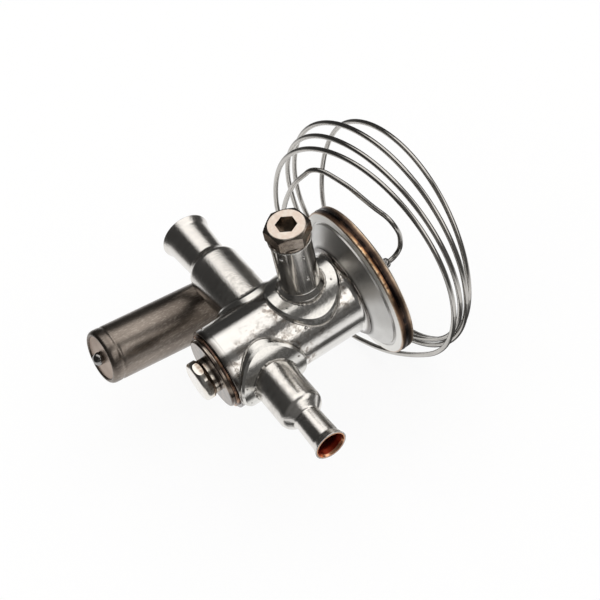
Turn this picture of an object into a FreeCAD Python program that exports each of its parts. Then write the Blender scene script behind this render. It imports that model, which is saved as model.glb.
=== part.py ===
import FreeCAD, Part
import math
import os
from FreeCAD import Vector

# Thermostatic expansion valve: a welded steel body with a diaphragm head at one end, a screwed
# plug at the other, two solder connectors, a side setting boss, and a coiled capillary tube
# that ends in a sensing bulb. Lengths are in millimetres.
# The origin is the centre of the inlet socket's mouth. +X runs along the body from the plug to
# the head, +Y is the way the refrigerant flows, and +Z is up along the setting boss.

# Pipes that the sockets take, and the clearances of the fits
inlet_pipe_diameter = 6.0
outlet_pipe_diameter = 10.0
pipe_clearance = 0.05
running_clearance = 0.06
assembly_gap = 0.02

# Body tube along X
inlet_reach = 38.3
outlet_reach = 45.1
outlet_offset = 7.3
boss_offset = 18.8
body_radius = 11.7
body_wall = 1.8
body_front = -10.2
neck_x = 30.05
neck_flare = 1.7
neck_round = 1.4
neck_seat_length = 1.0
body_groove_x = -8.7
body_groove_width = 0.5
body_groove_depth = 0.25

# Raised saddles welded round each connector and round the boss
saddle_rise = 1.45
saddle_share = 0.859
saddle_edge = 0.5

# Solder connectors, measured outwards from the body's axis
inlet_bell_share = 0.541
inlet_bell_end = 25.2
inlet_shoulder_length = 2.8
inlet_neck_wall = 0.4
inlet_mouth_growth = 0.3
inlet_lip_growth = 0.9
outlet_bell_share = 0.658
outlet_bell_end = 29.6
outlet_shoulder_length = 3.2
outlet_neck_wall = 0.5
outlet_mouth_growth = 0.65
outlet_lip_growth = 1.5
bell_wall = 1.1
lip_length = 2.0
liner_wall = 0.25
inlet_socket_depth = 8.0
outlet_socket_depth = 10.0
liner_step = 0.45
shoulder_round = 2.8
neck_corner_round = 0.9

# Strainer in the inlet bell
strainer_length = 8.5
strainer_wall = 0.4
strainer_radius = 3.9
strainer_rim = 1.0

# Setting boss, its washer and the setting spindle, measured up from the body's axis
boss_radius = 5.4
boss_bore_radius = 3.4
boss_top = 31.4
boss_foot_radius = 6.3
boss_foot_height = 1.5
washer_thickness = 0.6
washer_radius = 5.75
head_skirt_height = 0.9
head_skirt_radius = 5.6
head_height = 5.0
head_across_flats = 10.7
head_chamfer_radius = 4.8
head_turn = 7.0
socket_across_flats = 5.0
socket_turn = -6.0
socket_depth = 3.3
stem_length = 10.0
ring_groove_drop = 4.4
ring_groove_width = 1.5
ring_groove_depth = 1.1
ring_squeeze = 0.05
thread_radius = 2.0
thread_end = 9.4

# Forked wedge on the spindle's thread, and the spring seat that it pushes
wedge_top = 19.2
wedge_shoulder = 4.2
wedge_bottom = -5.0
wedge_slope = 0.3
wedge_face_x = 20.0
wedge_relief = 2.5
fork_gap = 3.4
seat_thickness = 1.3
seat_face_x = 22.2
seat_clearance = 0.7
seat_ramp_height = 4.0
seat_ramp_gap = 0.05
seat_ramp_width = 1.5
seat_lip_height = 0.9

# Valve train on the body's axis
rod_radius = 1.3
rod_tip_radius = 0.8
pad_radius = 9.0
pad_thickness = 1.6
pad_spigot_radius = 4.2
pad_spigot_length = 1.2
guide_x = 13.6
guide_thickness = 1.8
guide_hub_radius = 3.4
guide_hub_length = 2.0
orifice_radius = 1.6
orifice_x = 4.8
orifice_wall = 1.4
insert_start = -6.4
insert_wall = 2.0
insert_port_radius = 4.8
cone_length = 3.3
cone_radius = 3.1
cone_taper = 1.6
cone_spigot_radius = 1.5
cone_spigot_length = 1.5

# Springs
main_spring_radius = 6.0
main_spring_wire = 1.3
main_spring_turns = 3.5
cone_spring_radius = 2.2
cone_spring_wire = 0.6
cone_spring_turns = 5.5
spring_gap = 0.05

# Plug in the front end of the body, and its gasket
gasket_thickness = 0.8
gasket_step = 0.9
plug_flange_step = 1.6
plug_flange_thickness = 1.2
plug_flange_chamfer = 0.5
plug_head_height = 4.7
plug_head_across_flats = 11.0
plug_cap_radius = 5.85
plug_cap_round = 1.5
plug_waist_radius = 5.0
plug_waist_height = 1.5
plug_waist_slope = 0.9
plug_head_turn = 56.0
plug_spigot_length = 4.5
plug_bore_radius = 5.0
plug_bore_depth = 3.6

# Diaphragm head
rim_front_x = 34.0
rim_radius = 22.0
cup_flange_thickness = 1.5
cover_flange_thickness = 2.0
head_sheet = 1.0
cup_step_radius = 18.7
cup_step_depth = 0.35
cup_step_width = 0.7
rim_edge_round = 0.35
braze_chamfer = 0.3
braze_depth = 1.0
diaphragm_thickness = 0.2
dome_rise = 2.2
dome_radius = 16.8
dome_flat_radius = 11.0

# Ferrule where the capillary tube leaves the head
ferrule_hole_radius = 1.5
ferrule_foot_radius = 2.4
ferrule_foot_length = 1.6
ferrule_nose_radius = 1.2
ferrule_nose_end = 44.0

# Capillary tube
tube_radius = 0.7
tube_in_ferrule = 2.0
tube_straight = 0.4
route_unit = 1.0

# Sensing bulb: the centre of its visible end, from the body's axis, and its direction to the
# other end
bulb_along = -31.7
bulb_across = 30.5
bulb_up = -8.35
bulb_direction = Vector(0.977, 0.040, -0.211)
bulb_length = 42.7
bulb_radius = 7.9
bulb_wall = 0.7
bulb_crimp_x = 3.6
bulb_crimp_width = 0.9
bulb_crimp_depth = 0.3
bulb_recess = 1.6
bulb_disc_thickness = 0.8
bulb_rim_round = 0.3
bulb_tail_length = 4.0
bulb_tail_radius = 2.2
bulb_collar_length = 3.0
bulb_collar_radius = 1.5
fill_stub_radius = 0.9
fill_stub_length = 2.1
fill_bead_radius = 1.5

# Places that follow from the sizes above
body_axis = Vector(0, inlet_reach, 0)
bulb_end = body_axis + Vector(bulb_along, bulb_across, bulb_up)
body_bore = body_radius - body_wall
inlet_bell_radius = body_radius * inlet_bell_share
outlet_bell_radius = body_radius * outlet_bell_share
neck_radius = body_radius + neck_flare
saddle_radius = body_radius * saddle_share
gasket_radius = body_radius - gasket_step
plug_flange_radius = body_radius - plug_flange_step
seat_radius = body_bore - seat_clearance
plug_face_x = body_front - gasket_thickness
plug_front_x = plug_face_x - plug_flange_thickness
rim_seam_x = rim_front_x + cup_flange_thickness
cover_front_x = rim_seam_x + diaphragm_thickness
rim_back_x = cover_front_x + cover_flange_thickness
cover_top_x = rim_back_x + dome_rise
inlet_pipe_radius = inlet_pipe_diameter / 2
outlet_pipe_radius = outlet_pipe_diameter / 2
head_base = boss_top + washer_thickness
pad_top_x = rim_seam_x - spring_gap
pad_back_x = pad_top_x - pad_thickness
seat_back_x = seat_face_x + seat_thickness
along_x = Vector(1, 0, 0)
along_y = Vector(0, 1, 0)
along_z = Vector(0, 0, 1)


def unit(vector):
    result = Vector(vector)
    result.normalize()
    return result


# A direction square to the given one.
def square_to(direction):
    other = along_z if abs(direction.z) < 0.7 else along_x
    return unit(direction.cross(other))


# Edges of a closed outline through corners, each rounded where it states a radius.
def rounded_outline(corners, place):
    count = len(corners)
    flat = [Vector(corner[0], corner[1], 0) for corner in corners]
    radii = [corner[2] if len(corner) > 2 else 0.0 for corner in corners]
    arrivals, middles, departures = [], [], []
    for index in range(count):
        here = flat[index]
        if radii[index] == 0.0:
            arrivals.append(here)
            middles.append(None)
            departures.append(here)
            continue
        back = unit(flat[index - 1] - here)
        ahead = unit(flat[(index + 1) % count] - here)
        half = back.getAngle(ahead) / 2
        reach = radii[index] / math.tan(half)
        inward = unit(back + ahead)
        centre = here + inward * (radii[index] / math.sin(half))
        arrivals.append(here + back * reach)
        middles.append(centre - inward * radii[index])
        departures.append(here + ahead * reach)
    edges = []
    for index in range(count):
        if middles[index] is not None:
            arc = Part.Arc(place(arrivals[index]), place(middles[index]), place(departures[index]))
            edges.append(arc.toShape())
        start = place(departures[index])
        end = place(arrivals[(index + 1) % count])
        if start.distanceToPoint(end) > 1e-6:
            edges.append(Part.LineSegment(start, end).toShape())
    return edges


# Solid turned about an axis from corners given as (distance along, radius, corner radius).
def turned(corners, base, direction):
    axis = unit(direction)
    outward = square_to(axis)

    def place(point):
        return base + axis * point.x + outward * point.y

    face = Part.Face(Part.Wire(rounded_outline(corners, place)))
    return face.revolve(base, axis, 360)


def cylinder(radius, base, direction, length):
    return Part.makeCylinder(radius, length, base, unit(direction))


# Six-sided bar, turned about its axis by an angle in degrees.
def hexagon_bar(across_flats, base, direction, length, turn):
    axis = unit(direction)
    first = square_to(axis)
    second = axis.cross(first)
    corner_radius = across_flats / math.sqrt(3)
    corners = []
    for index in range(6):
        angle = math.radians(turn + 60 * index)
        corners.append(base + (first * math.cos(angle) + second * math.sin(angle)) * corner_radius)
    face = Part.Face(Part.makePolygon(corners + [corners[0]]))
    return face.extrude(axis * length)


# Edge that leaves a point along a tangent and reaches another point, as an arc or a line.
def tangent_edge(start, tangent, end):
    chord = end - start
    along = unit(chord)
    sideways = tangent - along * tangent.dot(along)
    if sideways.Length < 1e-6:
        return Part.LineSegment(start, end).toShape()
    angle = tangent.getAngle(along)
    rise = chord.Length / 2 * math.tan(angle / 2)
    middle = start + chord * 0.5 + unit(sideways) * rise
    return Part.Arc(start, middle, end).toShape()


# Two arcs that join two points and follow a given tangent at each of them.
def two_arcs(start, start_tangent, end, end_tangent):
    chord = end - start
    ahead = chord.dot(start_tangent + end_tangent)
    spread = 2 * (1 - start_tangent.dot(end_tangent))
    if spread < 1e-9:
        reach = chord.dot(chord) / (2 * ahead)
    else:
        reach = (math.sqrt(ahead * ahead + spread * chord.dot(chord)) - ahead) / spread
    before = start + start_tangent * reach
    after = end - end_tangent * reach
    joint = (before + after) * 0.5
    joint_tangent = unit(after - before)
    return [tangent_edge(start, start_tangent, joint), tangent_edge(joint, joint_tangent, end)]


# Tangents along a route. Inside it, each is that of the circle through a point and its
# neighbours; the two end tangents are given.
def route_tangents(points, first, last):
    tangents = [unit(first)]
    for index in range(1, len(points) - 1):
        before = points[index] - points[index - 1]
        after = points[index + 1] - points[index]
        blend = unit(before) * after.Length + unit(after) * before.Length
        tangents.append(unit(blend))
    tangents.append(unit(last))
    return tangents


# Round bar or tube along a route of tangent arcs.
def bar_along(points, first, last, radius):
    tangents = route_tangents(points, first, last)
    edges = []
    for index in range(len(points) - 1):
        edges += two_arcs(points[index], tangents[index], points[index + 1], tangents[index + 1])
    section = Part.Wire([Part.makeCircle(radius, points[0], tangents[0])])
    return Part.Wire(edges).makePipeShell([section], True, False)


# Helical spring about the body's axis from one X to another, with its end turns laid flat.
def spring(start_x, end_x, coil_radius, wire, turns):
    steps = 8
    first_x = start_x + wire / 2 + spring_gap
    last_x = end_x - wire / 2 - spring_gap
    flat = wire * 1.02
    points = []
    total = int((turns + 2) * steps)
    for index in range(total + 1):
        angle = 2 * math.pi * index / steps
        turn = index / steps
        if turn <= 1:
            x = first_x + flat * turn
        elif turn >= turns + 1:
            x = last_x - flat * (turns + 2 - turn)
        else:
            share = (turn - 1) / turns
            x = first_x + flat + (last_x - first_x - 2 * flat) * share
        y = body_axis.y + coil_radius * math.cos(angle)
        points.append(Vector(x, y, coil_radius * math.sin(angle)))
    slope = flat / steps
    arc = 2 * math.pi * coil_radius / steps
    first = Vector(slope, 0, arc)
    end_angle = 2 * math.pi * total / steps
    last = Vector(slope, -arc * math.sin(end_angle), arc * math.cos(end_angle))
    return bar_along(points, first, last, wire / 2)


def at_x(x):
    return Vector(x, body_axis.y, 0)


def make_body_tube():
    end_x = neck_x + neck_seat_length
    groove_end = body_groove_x + body_groove_width
    corners = [
        (body_front, body_bore),
        (body_front, body_radius, 0.25),
        (body_groove_x, body_radius),
        (body_groove_x, body_radius - body_groove_depth),
        (groove_end, body_radius - body_groove_depth),
        (groove_end, body_radius),
        (neck_x - 0.2, body_radius, neck_round),
        (neck_x - 0.2, neck_radius),
        (end_x, neck_radius),
        (end_x, body_bore),
    ]
    tube = turned(corners, at_x(0), along_x)
    inlet_hole = cylinder(inlet_bell_radius - bell_wall, at_x(0), -along_y, body_radius * 1.5)
    outlet_hole = cylinder(outlet_bell_radius - bell_wall, at_x(outlet_offset), along_y, body_radius * 1.5)
    boss_hole = cylinder(boss_bore_radius, at_x(boss_offset), along_z, body_radius * 1.5)
    return tube.cut(inlet_hole).cut(outlet_hole).cut(boss_hole)


# Patch of a thick tube wall round a port, with its outer edge bevelled.
def make_saddle(port_x, direction, hole_radius):
    outer = cylinder(body_radius + saddle_rise, at_x(port_x - 2 * saddle_radius), along_x, 4 * saddle_radius)
    inner = cylinder(body_radius + assembly_gap, at_x(port_x - 2 * saddle_radius), along_x, 4 * saddle_radius)
    outer.rotate(body_axis, along_x, 180)
    inner.rotate(body_axis, along_x, 180)
    reach = body_radius + saddle_rise + 1
    patch = cylinder(saddle_radius, at_x(port_x), direction, reach)
    hole = cylinder(hole_radius + assembly_gap, at_x(port_x), direction, reach)
    saddle = outer.common(patch).cut(inner)
    rim_edges = []
    for edge in saddle.Edges:
        if isinstance(edge.Curve, Part.Line):
            continue
        middle = edge.valueAt((edge.FirstParameter + edge.LastParameter) / 2)
        from_axis = math.hypot(middle.y - body_axis.y, middle.z)
        if abs(from_axis - body_radius - saddle_rise) < 1e-3:
            rim_edges.append(edge)
    saddle = saddle.makeChamfer(saddle_edge, rim_edges)
    return saddle.cut(hole)


# Solder connector: a bell on the body, a rounded shoulder, and a neck with a flared lip.
def make_connector(port_x, direction, reach, bell_radius, bell_end, shoulder, pipe_radius, wall, growth, lip):
    inside = pipe_radius + pipe_clearance + liner_wall + assembly_gap
    neck = inside + wall
    neck_start = bell_end + shoulder
    lip_start = reach - lip_length
    bell_inside = bell_radius - bell_wall
    corners = [
        (body_radius * 0.7, bell_inside),
        (body_radius * 0.7, bell_radius),
        (bell_end, bell_radius, shoulder_round),
        (neck_start - 0.4, neck, neck_corner_round),
        (lip_start, neck + growth, 1.5),
        (reach, neck + lip, 0.12),
        (reach, inside + lip, 0.12),
        (lip_start, inside, 1.5),
        (neck_start, inside),
        (neck_start, pipe_radius - liner_step),
        (neck_start - bell_wall, pipe_radius - liner_step),
        (bell_end - bell_wall, bell_inside, shoulder_round * 0.5),
    ]
    shape = turned(corners, at_x(port_x), direction)
    core = cylinder(body_radius + assembly_gap, at_x(port_x - 2 * bell_radius), along_x, 4 * bell_radius)
    return shape.cut(core)


# Copper liner inside a neck, flared with the lip, with a stop for the pipe's end.
def make_liner(port_x, direction, reach, bell_end, shoulder, pipe_radius, lip, socket_depth):
    inside = pipe_radius + pipe_clearance
    outside = inside + liner_wall
    start = bell_end + shoulder + assembly_gap
    stop = reach - lip_length - socket_depth
    lip_start = reach - lip_length
    corners = [
        (start, pipe_radius - liner_step),
        (start, outside),
        (lip_start, outside, 1.5),
        (reach, outside + lip),
        (reach, inside + lip),
        (lip_start, inside, 1.5),
        (max(stop, start + 0.5), inside),
        (max(stop, start + 0.5), pipe_radius - liner_step),
    ]
    return turned(corners, at_x(port_x), direction)


def make_strainer():
    rim_radius_here = inlet_bell_radius - bell_wall - assembly_gap
    open_end = inlet_bell_end - bell_wall - shoulder_round * 0.5
    closed_end = open_end - strainer_length
    corners = [
        (open_end, rim_radius_here),
        (open_end - strainer_rim, rim_radius_here),
        (open_end - strainer_rim, strainer_radius),
        (closed_end, strainer_radius, 0.8),
        (closed_end, 0),
        (closed_end + strainer_wall, 0),
        (closed_end + strainer_wall, strainer_radius - strainer_wall, 0.4),
        (open_end, strainer_radius - strainer_wall),
    ]
    return turned(corners, at_x(0), -along_y)


def make_boss():
    foot_top = body_radius + saddle_rise + boss_foot_height
    corners = [
        (body_bore, boss_bore_radius),
        (body_bore, boss_foot_radius),
        (body_radius + saddle_rise, boss_foot_radius, 0.4),
        (foot_top, boss_radius, 0.8),
        (boss_top, boss_radius, 0.3),
        (boss_top, boss_bore_radius),
    ]
    boss = turned(corners, at_x(boss_offset), along_z)
    core = cylinder(body_radius + assembly_gap, at_x(boss_offset - 10), along_x, 20)
    return boss.cut(core)


def make_washer():
    corners = [
        (boss_top, boss_bore_radius + running_clearance),
        (boss_top, washer_radius, 0.15),
        (head_base, washer_radius, 0.15),
        (head_base, boss_bore_radius + running_clearance),
    ]
    return turned(corners, at_x(boss_offset), along_z)


# Hexagonal head whose end is chamfered down to a circle.
def chamfered_head(base, direction, height, across_flats, chamfer_radius, turn):
    bar = hexagon_bar(across_flats, base, direction, height, turn)
    corner_radius = across_flats / math.sqrt(3) + 0.5
    drop = (corner_radius - chamfer_radius) * math.tan(math.radians(30))
    corners = [
        (0, 0),
        (0, corner_radius),
        (height - drop, corner_radius),
        (height, chamfer_radius),
        (height, 0),
    ]
    return bar.common(turned(corners, base, direction))


def make_spindle():
    base = at_x(boss_offset)
    bottom = base + along_z * (head_base + head_skirt_height)
    hexagon = chamfered_head(
        bottom, along_z, head_height - head_skirt_height, head_across_flats, head_chamfer_radius, head_turn
    )
    socket_floor = base + along_z * (head_base + head_height - socket_depth)
    socket = hexagon_bar(socket_across_flats, socket_floor, along_z, socket_depth + 1, socket_turn)
    stem_radius = boss_bore_radius - running_clearance
    groove_top = head_base - ring_groove_drop
    corners = [
        (thread_end, 0),
        (thread_end, thread_radius, 0.4),
        (head_base - stem_length, thread_radius),
        (head_base - stem_length, stem_radius, 0.3),
        (groove_top - ring_groove_width, stem_radius),
        (groove_top - ring_groove_width, stem_radius - ring_groove_depth),
        (groove_top, stem_radius - ring_groove_depth),
        (groove_top, stem_radius),
        (head_base + running_clearance, stem_radius),
        (head_base + running_clearance, head_skirt_radius, 0.2),
        (head_base + head_skirt_height, head_skirt_radius),
        (head_base + head_skirt_height, 0),
    ]
    return turned(corners, base, along_z).fuse(hexagon).cut(socket).removeSplitter()


def make_ring():
    inner = boss_bore_radius - running_clearance - ring_groove_depth + ring_squeeze
    outer = boss_bore_radius - assembly_gap
    section = (outer - inner) / 2
    height = head_base - ring_groove_drop - ring_groove_width / 2
    return Part.makeTorus((outer + inner) / 2, section, at_x(boss_offset) + along_z * height, along_z)


# X of the wedge's slanted face at a height.
def wedge_face(height):
    return wedge_face_x - wedge_slope * height


def make_wedge():
    radius = boss_bore_radius - running_clearance
    axis = at_x(boss_offset)
    body = cylinder(radius, axis + along_z * wedge_bottom, along_z, wedge_top - wedge_bottom)
    slot = Part.makeBox(
        4 * radius, fork_gap, wedge_shoulder - wedge_bottom + 1,
        Vector(axis.x - 2 * radius, axis.y - fork_gap / 2, wedge_bottom - 1),
    )
    high = seat_radius + wedge_relief
    corners = [
        Vector(wedge_face(wedge_bottom - 1), axis.y - 2 * radius, wedge_bottom - 1),
        Vector(axis.x + 3 * radius, axis.y - 2 * radius, wedge_bottom - 1),
        Vector(axis.x + 3 * radius, axis.y - 2 * radius, high),
        Vector(wedge_face(high), axis.y - 2 * radius, high),
    ]
    slope = Part.Face(Part.makePolygon(corners + [corners[0]])).extrude(along_y * (4 * radius))
    hole_depth = wedge_top - thread_end + 1.9
    thread = cylinder(thread_radius + running_clearance, axis + along_z * wedge_top, -along_z, hole_depth)
    return body.cut(slot).cut(slope).cut(thread)


def make_spring_seat():
    corners = [
        (seat_face_x, rod_radius + 3 * running_clearance),
        (seat_face_x, seat_radius, 0.2),
        (seat_back_x, seat_radius, 0.2),
        (seat_back_x, main_spring_radius - main_spring_wire / 2 - 0.2),
        (seat_back_x + seat_lip_height, main_spring_radius - main_spring_wire / 2 - 0.2, 0.2),
        (seat_back_x + seat_lip_height, rod_radius + 3 * running_clearance),
    ]
    seat = turned(corners, at_x(0), along_x)
    inner_y = fork_gap / 2 + 0.05
    for side in (-1, 1):
        near = body_axis.y + side * inner_y
        ramp_corners = [
            Vector(wedge_face(-seat_ramp_height) + seat_ramp_gap, near, -seat_ramp_height),
            Vector(seat_face_x + 0.1, near, -seat_ramp_height),
            Vector(seat_face_x + 0.1, near, seat_ramp_height),
            Vector(wedge_face(seat_ramp_height) + seat_ramp_gap, near, seat_ramp_height),
        ]
        face = Part.Face(Part.makePolygon(ramp_corners + [ramp_corners[0]]))
        seat = seat.fuse(face.extrude(along_y * (side * seat_ramp_width)))
    return seat.removeSplitter()


def make_pressure_pad():
    corners = [
        (pad_back_x, rod_radius),
        (pad_back_x - pad_spigot_length, rod_radius),
        (pad_back_x - pad_spigot_length, pad_spigot_radius, 0.3),
        (pad_back_x, pad_spigot_radius),
        (pad_back_x, pad_radius, 0.3),
        (pad_top_x, pad_radius, 0.5),
        (pad_top_x, 0),
        (pad_top_x - 0.6, 0),
        (pad_top_x - 0.6, rod_radius),
    ]
    return turned(corners, at_x(0), along_x)


def make_push_rod():
    step_x = orifice_x + orifice_wall + 2.5
    corners = [
        (orifice_x + 0.8, 0),
        (orifice_x + 0.8, rod_tip_radius),
        (step_x, rod_tip_radius),
        (step_x + 0.6, rod_radius),
        (pad_top_x - 0.6, rod_radius),
        (pad_top_x - 0.6, 0),
    ]
    return turned(corners, at_x(0), along_x)


def make_rod_guide():
    hole = rod_radius + running_clearance
    radius = body_bore - assembly_gap
    corners = [
        (guide_x, hole),
        (guide_x - guide_hub_length, hole),
        (guide_x - guide_hub_length, guide_hub_radius, 0.4),
        (guide_x, guide_hub_radius),
        (guide_x, radius),
        (guide_x + guide_thickness, radius),
        (guide_x + guide_thickness, hole),
    ]
    return turned(corners, at_x(0), along_x)


def make_orifice_insert():
    outer = body_bore - assembly_gap
    back = orifice_x + orifice_wall
    corners = [
        (insert_start, outer - insert_wall),
        (insert_start, outer),
        (back, outer, 0.4),
        (back, orifice_radius),
        (orifice_x, orifice_radius),
        (orifice_x, orifice_radius + 1.2),
        (orifice_x + 0.4, outer - insert_wall, 0.4),
    ]
    insert = turned(corners, at_x(0), along_x)
    port = cylinder(insert_port_radius, at_x(0), -along_y, body_radius)
    return insert.cut(port)


def make_valve_cone():
    base = orifice_x - assembly_gap
    back = orifice_x - cone_length
    corners = [
        (base + 0.8 + assembly_gap, 0),
        (base + 0.8 + assembly_gap, rod_tip_radius),
        (base, orifice_radius - assembly_gap),
        (base - cone_taper, cone_radius),
        (back, cone_radius, 0.2),
        (back, cone_spigot_radius),
        (back - cone_spigot_length, cone_spigot_radius, 0.3),
        (back - cone_spigot_length, 0),
    ]
    return turned(corners, at_x(0), along_x)


def make_plug_gasket():
    corners = [
        (plug_face_x, body_bore + assembly_gap),
        (plug_face_x, gasket_radius, 0.2),
        (body_front, gasket_radius, 0.2),
        (body_front, body_bore + assembly_gap),
    ]
    return turned(corners, at_x(0), along_x)


def make_plug():
    spigot = body_bore - assembly_gap
    spigot_end = plug_face_x + plug_spigot_length
    corners = [
        (plug_front_x, 0),
        (plug_front_x, plug_flange_radius, plug_flange_chamfer),
        (plug_face_x, plug_flange_radius),
        (plug_face_x, spigot),
        (spigot_end, spigot, 0.3),
        (spigot_end, plug_bore_radius),
        (spigot_end - plug_bore_depth, plug_bore_radius),
        (spigot_end - plug_bore_depth, 0),
    ]
    base = at_x(plug_front_x)
    waist_end = plug_waist_height + plug_waist_slope
    cap = [
        (0, 0),
        (0, plug_waist_radius),
        (plug_waist_height, plug_waist_radius, 0.6),
        (waist_end, plug_cap_radius, 0.5),
        (plug_head_height, plug_cap_radius, plug_cap_round),
        (plug_head_height, 0),
    ]
    bar = hexagon_bar(plug_head_across_flats, base, -along_x, plug_head_height, plug_head_turn)
    head = bar.common(turned(cap, base, -along_x))
    return turned(corners, at_x(0), along_x).fuse(head).removeSplitter()


def make_head_cup():
    seat = neck_radius + assembly_gap
    step_x = rim_front_x - 0.7
    corners = [
        (neck_x, seat),
        (step_x, cup_step_radius),
        (step_x + cup_step_depth + 0.25, cup_step_radius + 0.1),
        (step_x + cup_step_depth + 0.25, cup_step_radius + cup_step_width),
        (step_x + 0.45, cup_step_radius + cup_step_width + 0.1),
        (rim_front_x, rim_radius, rim_edge_round),
        (rim_seam_x - braze_chamfer, rim_radius),
        (rim_seam_x, rim_radius - braze_depth),
        (rim_seam_x, cup_step_radius - 0.2, 0.3),
        (neck_x + head_sheet, seat),
    ]
    return turned(corners, at_x(0), along_x)


def make_diaphragm():
    outer = rim_radius - braze_depth - assembly_gap
    top = cover_front_x - assembly_gap
    corners = [
        (rim_seam_x + assembly_gap, 0),
        (rim_seam_x + assembly_gap, outer),
        (top, outer),
        (top, 0),
    ]
    return turned(corners, at_x(0), along_x)


def make_rim_braze():
    inner = rim_radius - braze_depth
    corners = [
        (rim_seam_x, inner),
        (rim_seam_x - braze_chamfer, rim_radius),
        ((rim_seam_x + cover_front_x) / 2, rim_radius + 0.1),
        (cover_front_x + braze_chamfer, rim_radius),
        (cover_front_x, inner),
    ]
    return turned(corners, at_x(0), along_x)


def make_head_cover():
    hole = ferrule_hole_radius + assembly_gap
    inside_top = cover_top_x - head_sheet
    corners = [
        (cover_front_x, dome_radius + 1.5),
        (cover_front_x, rim_radius - braze_depth),
        (cover_front_x + braze_chamfer, rim_radius),
        (rim_back_x, rim_radius, rim_edge_round),
        (rim_back_x, dome_radius + 2.4, 0.5),
        (cover_top_x - 0.5, dome_radius, 1.0),
        (cover_top_x, dome_flat_radius),
        (cover_top_x, hole),
        (inside_top, hole),
        (inside_top, dome_flat_radius),
        (inside_top - 0.5, dome_radius - 0.8, 0.5),
    ]
    return turned(corners, at_x(0), along_x)


def make_ferrule():
    hole = tube_radius + assembly_gap
    foot_end = cover_top_x + ferrule_foot_length
    corners = [
        (cover_top_x - head_sheet, hole),
        (cover_top_x - head_sheet, ferrule_hole_radius),
        (cover_top_x, ferrule_hole_radius),
        (cover_top_x, ferrule_foot_radius),
        (foot_end, ferrule_foot_radius, 0.6),
        (foot_end, ferrule_nose_radius),
        (ferrule_nose_end, ferrule_nose_radius, 0.2),
        (ferrule_nose_end, hole),
    ]
    return turned(corners, at_x(0), along_x)


# One turn of the coil, in route units: where its centre lies, how large it is, and how far its
# plane leans along X for each step across (Y) and up (Z).
def coil_turn(number):
    centre_x = (41.2, 45.7, 48.6, 53.6)[number]
    centre_y = (6.8, 8.4, 10.1, 9.4)[number]
    centre_z = (-0.2, 1.2, -1.0, -2.7)[number]
    radius = (33.5, 33.4, 35.1, 32.7)[number]
    lean_y = (-0.185, -0.155, -0.118, -0.03)[number]
    lean_z = (0.117, 0.059, 0.117, 0.175)[number]
    sizes = [size * route_unit for size in (centre_x, centre_y, centre_z, radius)]
    return sizes + [lean_y, lean_z]


# Point of the coil at an angle in degrees. 0 is the inlet's side, 90 is the top, and each turn
# passes smoothly into the next behind the body, between 190 and 280.
def coil_point(angle):
    passed = angle + 170.0
    number = int(passed // 360) - 1
    share = min(1.0, (passed - 360 * (number + 1)) / 90.0)
    share = share * share * (3 - 2 * share)
    old = coil_turn(max(0, min(3, number - 1)))
    new = coil_turn(max(0, min(3, number)))
    x, y, z, radius, lean_y, lean_z = [a + (b - a) * share for a, b in zip(old, new)]
    across = -radius * math.cos(math.radians(angle))
    up = radius * math.sin(math.radians(angle))
    return Vector(x + lean_y * across + lean_z * up, body_axis.y + y + across, z + up)


# Route of the capillary tube: out of the ferrule, up and over into the first turn, round the
# coil, and back behind the body to the bulb.
def capillary_route():
    lead = [
        (46.2, 0.0, 0.0),
        (49.0, 0.1, 1.5),
        (50.2, 0.1, 5.5),
        (49.4, 1.6, 11.8),
        (47.0, 7.6, 15.9),
        (44.2, 16.0, 19.8),
        (41.3, 22.6, 21.2),
        (38.2, 28.7, 15.0),
        (35.6, 33.6, 5.4),
        (34.1, 36.4, -5.0),
        (33.2, 34.3, -17.5),
        (34.0, 27.8, -30.0),
        (35.6, 15.0, -38.4),
        (37.9, 3.6, -36.4),
    ]
    points = [at_x(ferrule_nose_end - tube_in_ferrule), at_x(ferrule_nose_end + tube_straight)]
    points += [body_axis + Vector(x, y, z) * route_unit for x, y, z in lead]
    first_angle = 295
    last_angle = 3 * 360 + 545
    step = 45
    for angle in range(first_angle, last_angle, step):
        points.append(coil_point(angle))
    tail = [
        (48.9, 39.6, -10.5),
        (46.9, 35.9, -18.3),
        (43.0, 30.4, -21.6),
        (37.0, 26.6, -22.8),
        (29.0, 25.4, -22.4),
        (21.0, 27.4, -20.8),
    ]
    points += [body_axis + Vector(x, y, z) * route_unit for x, y, z in tail]
    collar_end = bulb_length + bulb_collar_length
    for distance in (tube_in_ferrule, tube_straight, -tube_in_ferrule):
        points.append(bulb_end + bulb_axis() * (collar_end + distance))
    return points


def bulb_axis():
    return unit(bulb_direction)


def make_capillary():
    return bar_along(capillary_route(), along_x, -bulb_axis(), tube_radius)


def make_bulb_shell():
    tail_start = bulb_length - bulb_tail_length
    collar_end = bulb_length + bulb_collar_length
    inside = bulb_radius - bulb_wall
    hole = tube_radius + assembly_gap
    corners = [
        (0, inside, 0.15),
        (0, bulb_radius, bulb_rim_round),
        (bulb_crimp_x - bulb_crimp_width / 2, bulb_radius, 0.2),
        (bulb_crimp_x, bulb_radius - bulb_crimp_depth, 0.2),
        (bulb_crimp_x + bulb_crimp_width / 2, bulb_radius, 0.2),
        (tail_start, bulb_radius, 2.5),
        (bulb_length, bulb_tail_radius, 0.6),
        (bulb_length, bulb_collar_radius),
        (collar_end, bulb_collar_radius, 0.3),
        (collar_end, hole),
        (bulb_length - bulb_wall, hole),
        (tail_start - bulb_wall, inside, 2.0),
    ]
    return turned(corners, bulb_end, bulb_axis())


def make_bulb_disc():
    radius = bulb_radius - bulb_wall - assembly_gap
    corners = [
        (bulb_recess, 0),
        (bulb_recess, radius, 0.25),
        (bulb_recess + bulb_disc_thickness, radius),
        (bulb_recess + bulb_disc_thickness, 0),
    ]
    return turned(corners, bulb_end, bulb_axis())


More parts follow.
